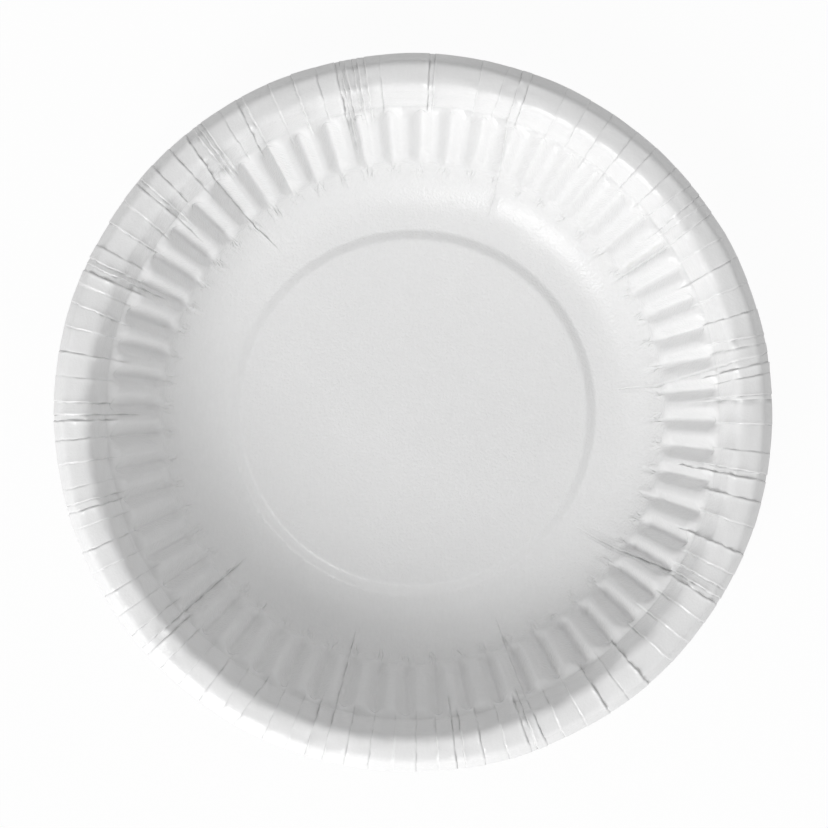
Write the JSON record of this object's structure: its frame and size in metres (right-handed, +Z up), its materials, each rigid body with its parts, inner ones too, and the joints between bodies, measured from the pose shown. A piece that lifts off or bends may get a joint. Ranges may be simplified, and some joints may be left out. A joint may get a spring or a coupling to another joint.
{
  "type": "paper bowl",
  "caption": "Round disposable paper bowl with a raised floor panel, a fluted sloping wall and a wide rim turned down at its edge, for serving food.",
  "frame": {"origin": "on the table, under the middle of the bowl", "axes": "+Z up out of the bowl's mouth, along its axis; X and Y level; the picture's right is +X and its top is +Y"},
  "size_m": [0.16, 0.16, 0.035],
  "materials": {
    "coated_board": "white paperboard, gloss coated on the inside, matt underneath"
  },
  "bodies": {
    "root": {"bowl": "coated_board"}
  },
  "joints": []
}
